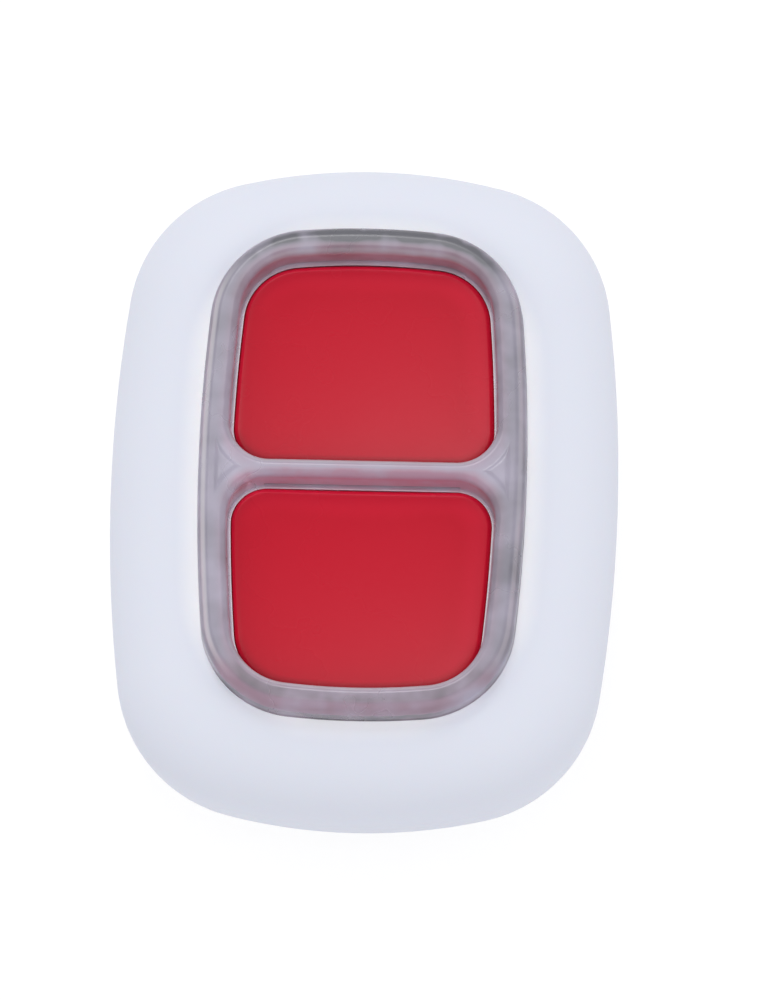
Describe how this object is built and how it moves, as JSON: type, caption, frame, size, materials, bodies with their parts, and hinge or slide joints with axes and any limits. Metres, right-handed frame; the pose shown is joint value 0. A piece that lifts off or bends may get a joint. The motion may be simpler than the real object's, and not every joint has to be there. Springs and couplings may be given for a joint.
{
  "type": "wireless panic button",
  "caption": "Pocket-sized wireless panic button: pebble-shaped housing, clear raised figure-eight divider and red keys sunk into its cells.",
  "frame": {"origin": "centre of the flat back, on the surface the button lies on", "axes": "+X across the button, +Y along it towards the end with the cord hole, +Z out of the keys"},
  "size_m": [0.035, 0.047, 0.016],
  "materials": {
    "housing_white": "fine moulded texture",
    "clear_divider": "clear polycarbonate",
    "key_red": "soft matt",
    "seal_rubber": "smooth",
    "frame_white": "smooth",
    "boot_silicone": "translucent silicone",
    "board_green": "solder mask",
    "screw_steel": "zinc plated",
    "switch_black": "moulded",
    "plunger_black": "moulded",
    "sheet_steel": "plated sheet",
    "contact_metal": "plated",
    "chip_black": "moulded",
    "lamp_body": "clear cap",
    "capacitor_tan": "ceramic",
    "cell_steel": "stainless can"
  },
  "bodies": {
    "housing": {"front_housing": "housing_white", "rear_housing": "housing_white", "divider": "clear_divider", "housing_seal": "seal_rubber", "button_frame": "frame_white", "upper_return_boot": "boot_silicone", "lower_return_boot": "boot_silicone", "circuit_board": "board_green", "board_screws": "screw_steel", "upper_switch_base": "switch_black", "lower_switch_base": "switch_black", "upper_switch_cover": "sheet_steel", "lower_switch_cover": "sheet_steel", "switch_terminals": "contact_metal", "radio_chip": "chip_black", "clock_crystal": "sheet_steel", "left_indicator": "lamp_body", "right_indicator": "lamp_body", "chip_capacitors": "capacitor_tan", "antenna": "contact_metal", "coin_cell": "cell_steel", "positive_battery_clip": "sheet_steel", "negative_battery_contact": "contact_metal"},
    "upper_key": {"upper_button": "key_red"},
    "lower_key": {"lower_button": "key_red"},
    "upper_plunger": {"upper_switch_plunger": "plunger_black"},
    "lower_plunger": {"lower_switch_plunger": "plunger_black"}
  },
  "joints": [
    {"name": "upper_press", "type": "slide", "parent": "housing", "child": "upper_key", "axis": [0, 0, -1], "range_m": [0, 0.0005], "stiffness_N_per_m": 3000, "springref_m": -0.0006, "deforming": ["upper_return_boot"]},
    {"name": "lower_press", "type": "slide", "parent": "housing", "child": "lower_key", "axis": [0, 0, -1], "range_m": [0, 0.0005], "stiffness_N_per_m": 3000, "springref_m": -0.0006, "deforming": ["lower_return_boot"]},
    {"name": "upper_switch_press", "type": "slide", "parent": "housing", "child": "upper_plunger", "axis": [0, 0, -1], "range_m": [0, 0.0005]},
    {"name": "lower_switch_press", "type": "slide", "parent": "housing", "child": "lower_plunger", "axis": [0, 0, -1], "range_m": [0, 0.0005]}
  ],
  "couplings": [
    {"joint": "upper_switch_press", "follows": "upper_press", "ratio": 1},
    {"joint": "lower_switch_press", "follows": "lower_press", "ratio": 1}
  ]
}
